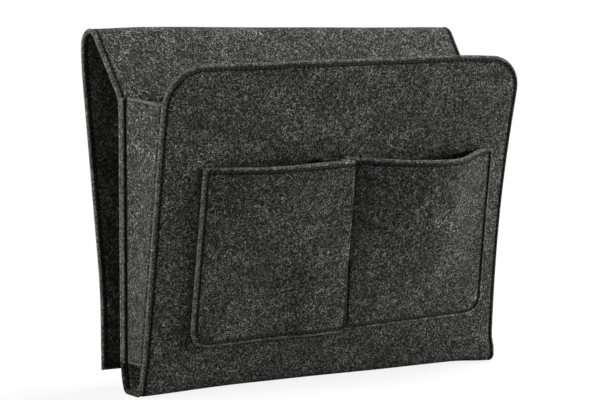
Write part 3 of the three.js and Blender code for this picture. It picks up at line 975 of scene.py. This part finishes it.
rightSeam = evenly(joined([
    [[rightX[-1, 0] + inset, mouthLine], [rightX[-1, -1] - inset, mouthLine]],
    quarter(rightSide(pocketCorner / pocketHeight) - pocketCorner, pocketCorner, 360, 270),
    [[rightX[0, 0] + inset, inset], [rightX[-1, 0] + inset, mouthLine]],
]))
pouchThread = threadObject("pouchThread", [
    *[seamOn(lowerCloth, frontSeam, facing) for facing in (-1, 1)],
    seamOn(leftCloth, leftSeam, 1),
    seamOn(rightCloth, rightSeam, 1),
])
backThread = threadObject("backThread", [
    seamOn(backCloth, seam, facing) for seam in backSeams for facing in (-1, 1)
])
flapThread = threadObject("flapThread", [seamOn(flapCloth, flapSeam, facing) for facing in (-1, 1)])

# the last number: how much paler the cut edge is, as worn fuzz and painted highlight
for material, pieces in (
    (heatherFelt("mainFelt", 1, 0.6), (lower, back, flap)),
    (heatherFelt("gussetFelt", 2, 0.5), (leftGusset, rightGusset)),
    (heatherFelt("pocketFelt", 3, 1.6), (pocketLeft, pocketRight)),
    (threadMaterial(), (pouchThread, backThread, flapThread)),
):
    for piece in pieces:
        piece.data.materials.append(material)


for piece in (lower, leftGusset, rightGusset, pocketLeft, pocketRight, pouchThread):
    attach(piece, "pouch")
for piece in (back, backThread):
    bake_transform(piece)
for piece in (flap, flapThread):
    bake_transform(piece)
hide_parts("front_panel", "bottom_fold")
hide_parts("back_panel", "upper_back")
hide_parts("rear_flap")
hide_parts("left_gusset")
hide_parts("right_gusset")
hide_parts("left_pocket")
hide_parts("right_pocket")


print("pieces ride")

studio = {
    # the focal length in pixels, for an image 600 wide
    "focal": 2403.0, "imageWidth": 600.0, "sensorWidth": 36.0, "seenTo": 100.0,
    "yawDeg": 31.80, "pitchDeg": 5.58, "distance": 1707.0, "target": (-19.6, -30.0, 130.7),
    "ambient": 0.16,
    "floorHalf": 3000.0, "floorTone": 0.62, "floorRough": 0.9, "floorWhite": 1.025,
    # its glow near the caddy and far off
    "floorFade": {"From Min": 0.25, "From Max": 0.9, "To Min": 0.85, "To Max": 1.0},
    # each lamp's place in metres, size and watts
    "lampAim": (0, 0, 0.12),
    "lamps": {
        "key": ((-2.3, 0.2, 0.65), 0.8, 78.0),
        "fill": ((2.5, -0.65, 0.42), 0.6, 98.0),
        "above": ((0.6, 0.1, 1.6), 0.9, 49.0),
    },
}


def floorMaterial():
    # a plain lit floor that fades to white with the distance, for the camera only
    s = studio
    surface = {"Base Color": (*[s["floorTone"]] * 3, 1), "Roughness": s["floorRough"]}
    material, tree, shader = newMaterial("paleFloor", surface)
    glow = addNode(tree, "Emission", Strength=s["floorWhite"])
    place = addNode(tree, "TexCoord").outputs["Object"]
    distance = addNode(tree, "VectorMath", operation="LENGTH", Vector=place).outputs["Value"]
    fade = addNode(tree, "MapRange", interpolation_type="SMOOTHSTEP", Value=distance, **s["floorFade"])
    seen = addNode(tree, "LightPath").outputs["Is Camera Ray"]
    mix = addNode(tree, "MixShader", Fac=mathNode(tree, "MULTIPLY", seen, fade.outputs[0]))
    feed(tree, mix.inputs[1], shader.outputs[0])
    feed(tree, mix.inputs[2], glow.outputs[0])
    feed(tree, tree.nodes["Material Output"].inputs[0], mix.outputs[0])
    return material


def floor():
    corners = np.array([[-1, -1, 0], [1, -1, 0], [1, 1, 0], [-1, 1, 0]]) * studio["floorHalf"]
    mesh = bpy.data.meshes.new("floor")
    mesh.from_pydata((corners * mm).tolist(), [], [(0, 1, 2, 3)])
    plane = placed("floor", mesh)
    mesh.materials.append(floorMaterial())


def lamp(name, place, size, power):
    data = bpy.data.lights.new(name, "AREA")
    data.shape = "DISK"
    data.size = size
    data.energy = power
    made = placed(name, data)
    made.location = place
    direction = np.array(studio["lampAim"], float) - np.array(place, float)
    turn = np.arctan2(direction[1], direction[0])
    tilt = np.arctan2(np.hypot(*direction[:2]), -direction[2])
    made.rotation_euler = (tilt, 0.0, turn - math.pi / 2)


def world():
    # white to the camera and through glass, a low even light elsewhere
    made = bpy.data.worlds.new("studio")
    bpy.context.scene.world = made
    made.use_nodes = True
    tree = made.node_tree
    sky = tree.nodes["Background"].inputs
    path = addNode(tree, "LightPath").outputs
    seen = mathNode(tree, "MAXIMUM", path["Is Camera Ray"], path["Is Transmission Ray"])
    strength = mathNode(tree, "MULTIPLY_ADD", seen, 1.0 - studio["ambient"], studio["ambient"])
    feed(tree, sky["Color"], (1, 1, 1, 1))
    feed(tree, sky["Strength"], strength)


def camera():
    s = studio
    yaw, pitch = math.radians(s["yawDeg"]), math.radians(s["pitchDeg"])
    level = np.array([math.sin(yaw), math.cos(yaw), 0.0])
    right = np.array([math.cos(yaw), -math.sin(yaw), 0.0])
    forward = level * math.cos(pitch) + np.array([0, 0, -math.sin(pitch)])
    upward = np.cross(right, forward)
    place = (np.array(s["target"]) + drawnToFrame - forward * s["distance"]) * mm
    data = bpy.data.cameras.new("photoCamera")
    data.sensor_width = s["sensorWidth"]
    data.lens = s["focal"] * s["sensorWidth"] / s["imageWidth"]
    data.clip_end = s["seenTo"]
    made = placed("photoCamera", data)
    matrix = np.eye(4)
    matrix[:3] = np.stack([right, upward, -forward, place], 1)
    made.matrix_world = Matrix(matrix.tolist())
    bpy.context.scene.camera = made


floor()
world()
camera()
for name, (place, size, power) in studio["lamps"].items():
    lamp(name, place, size, power)
bpy.context.scene.view_settings.view_transform = "Standard"
print("studio set")
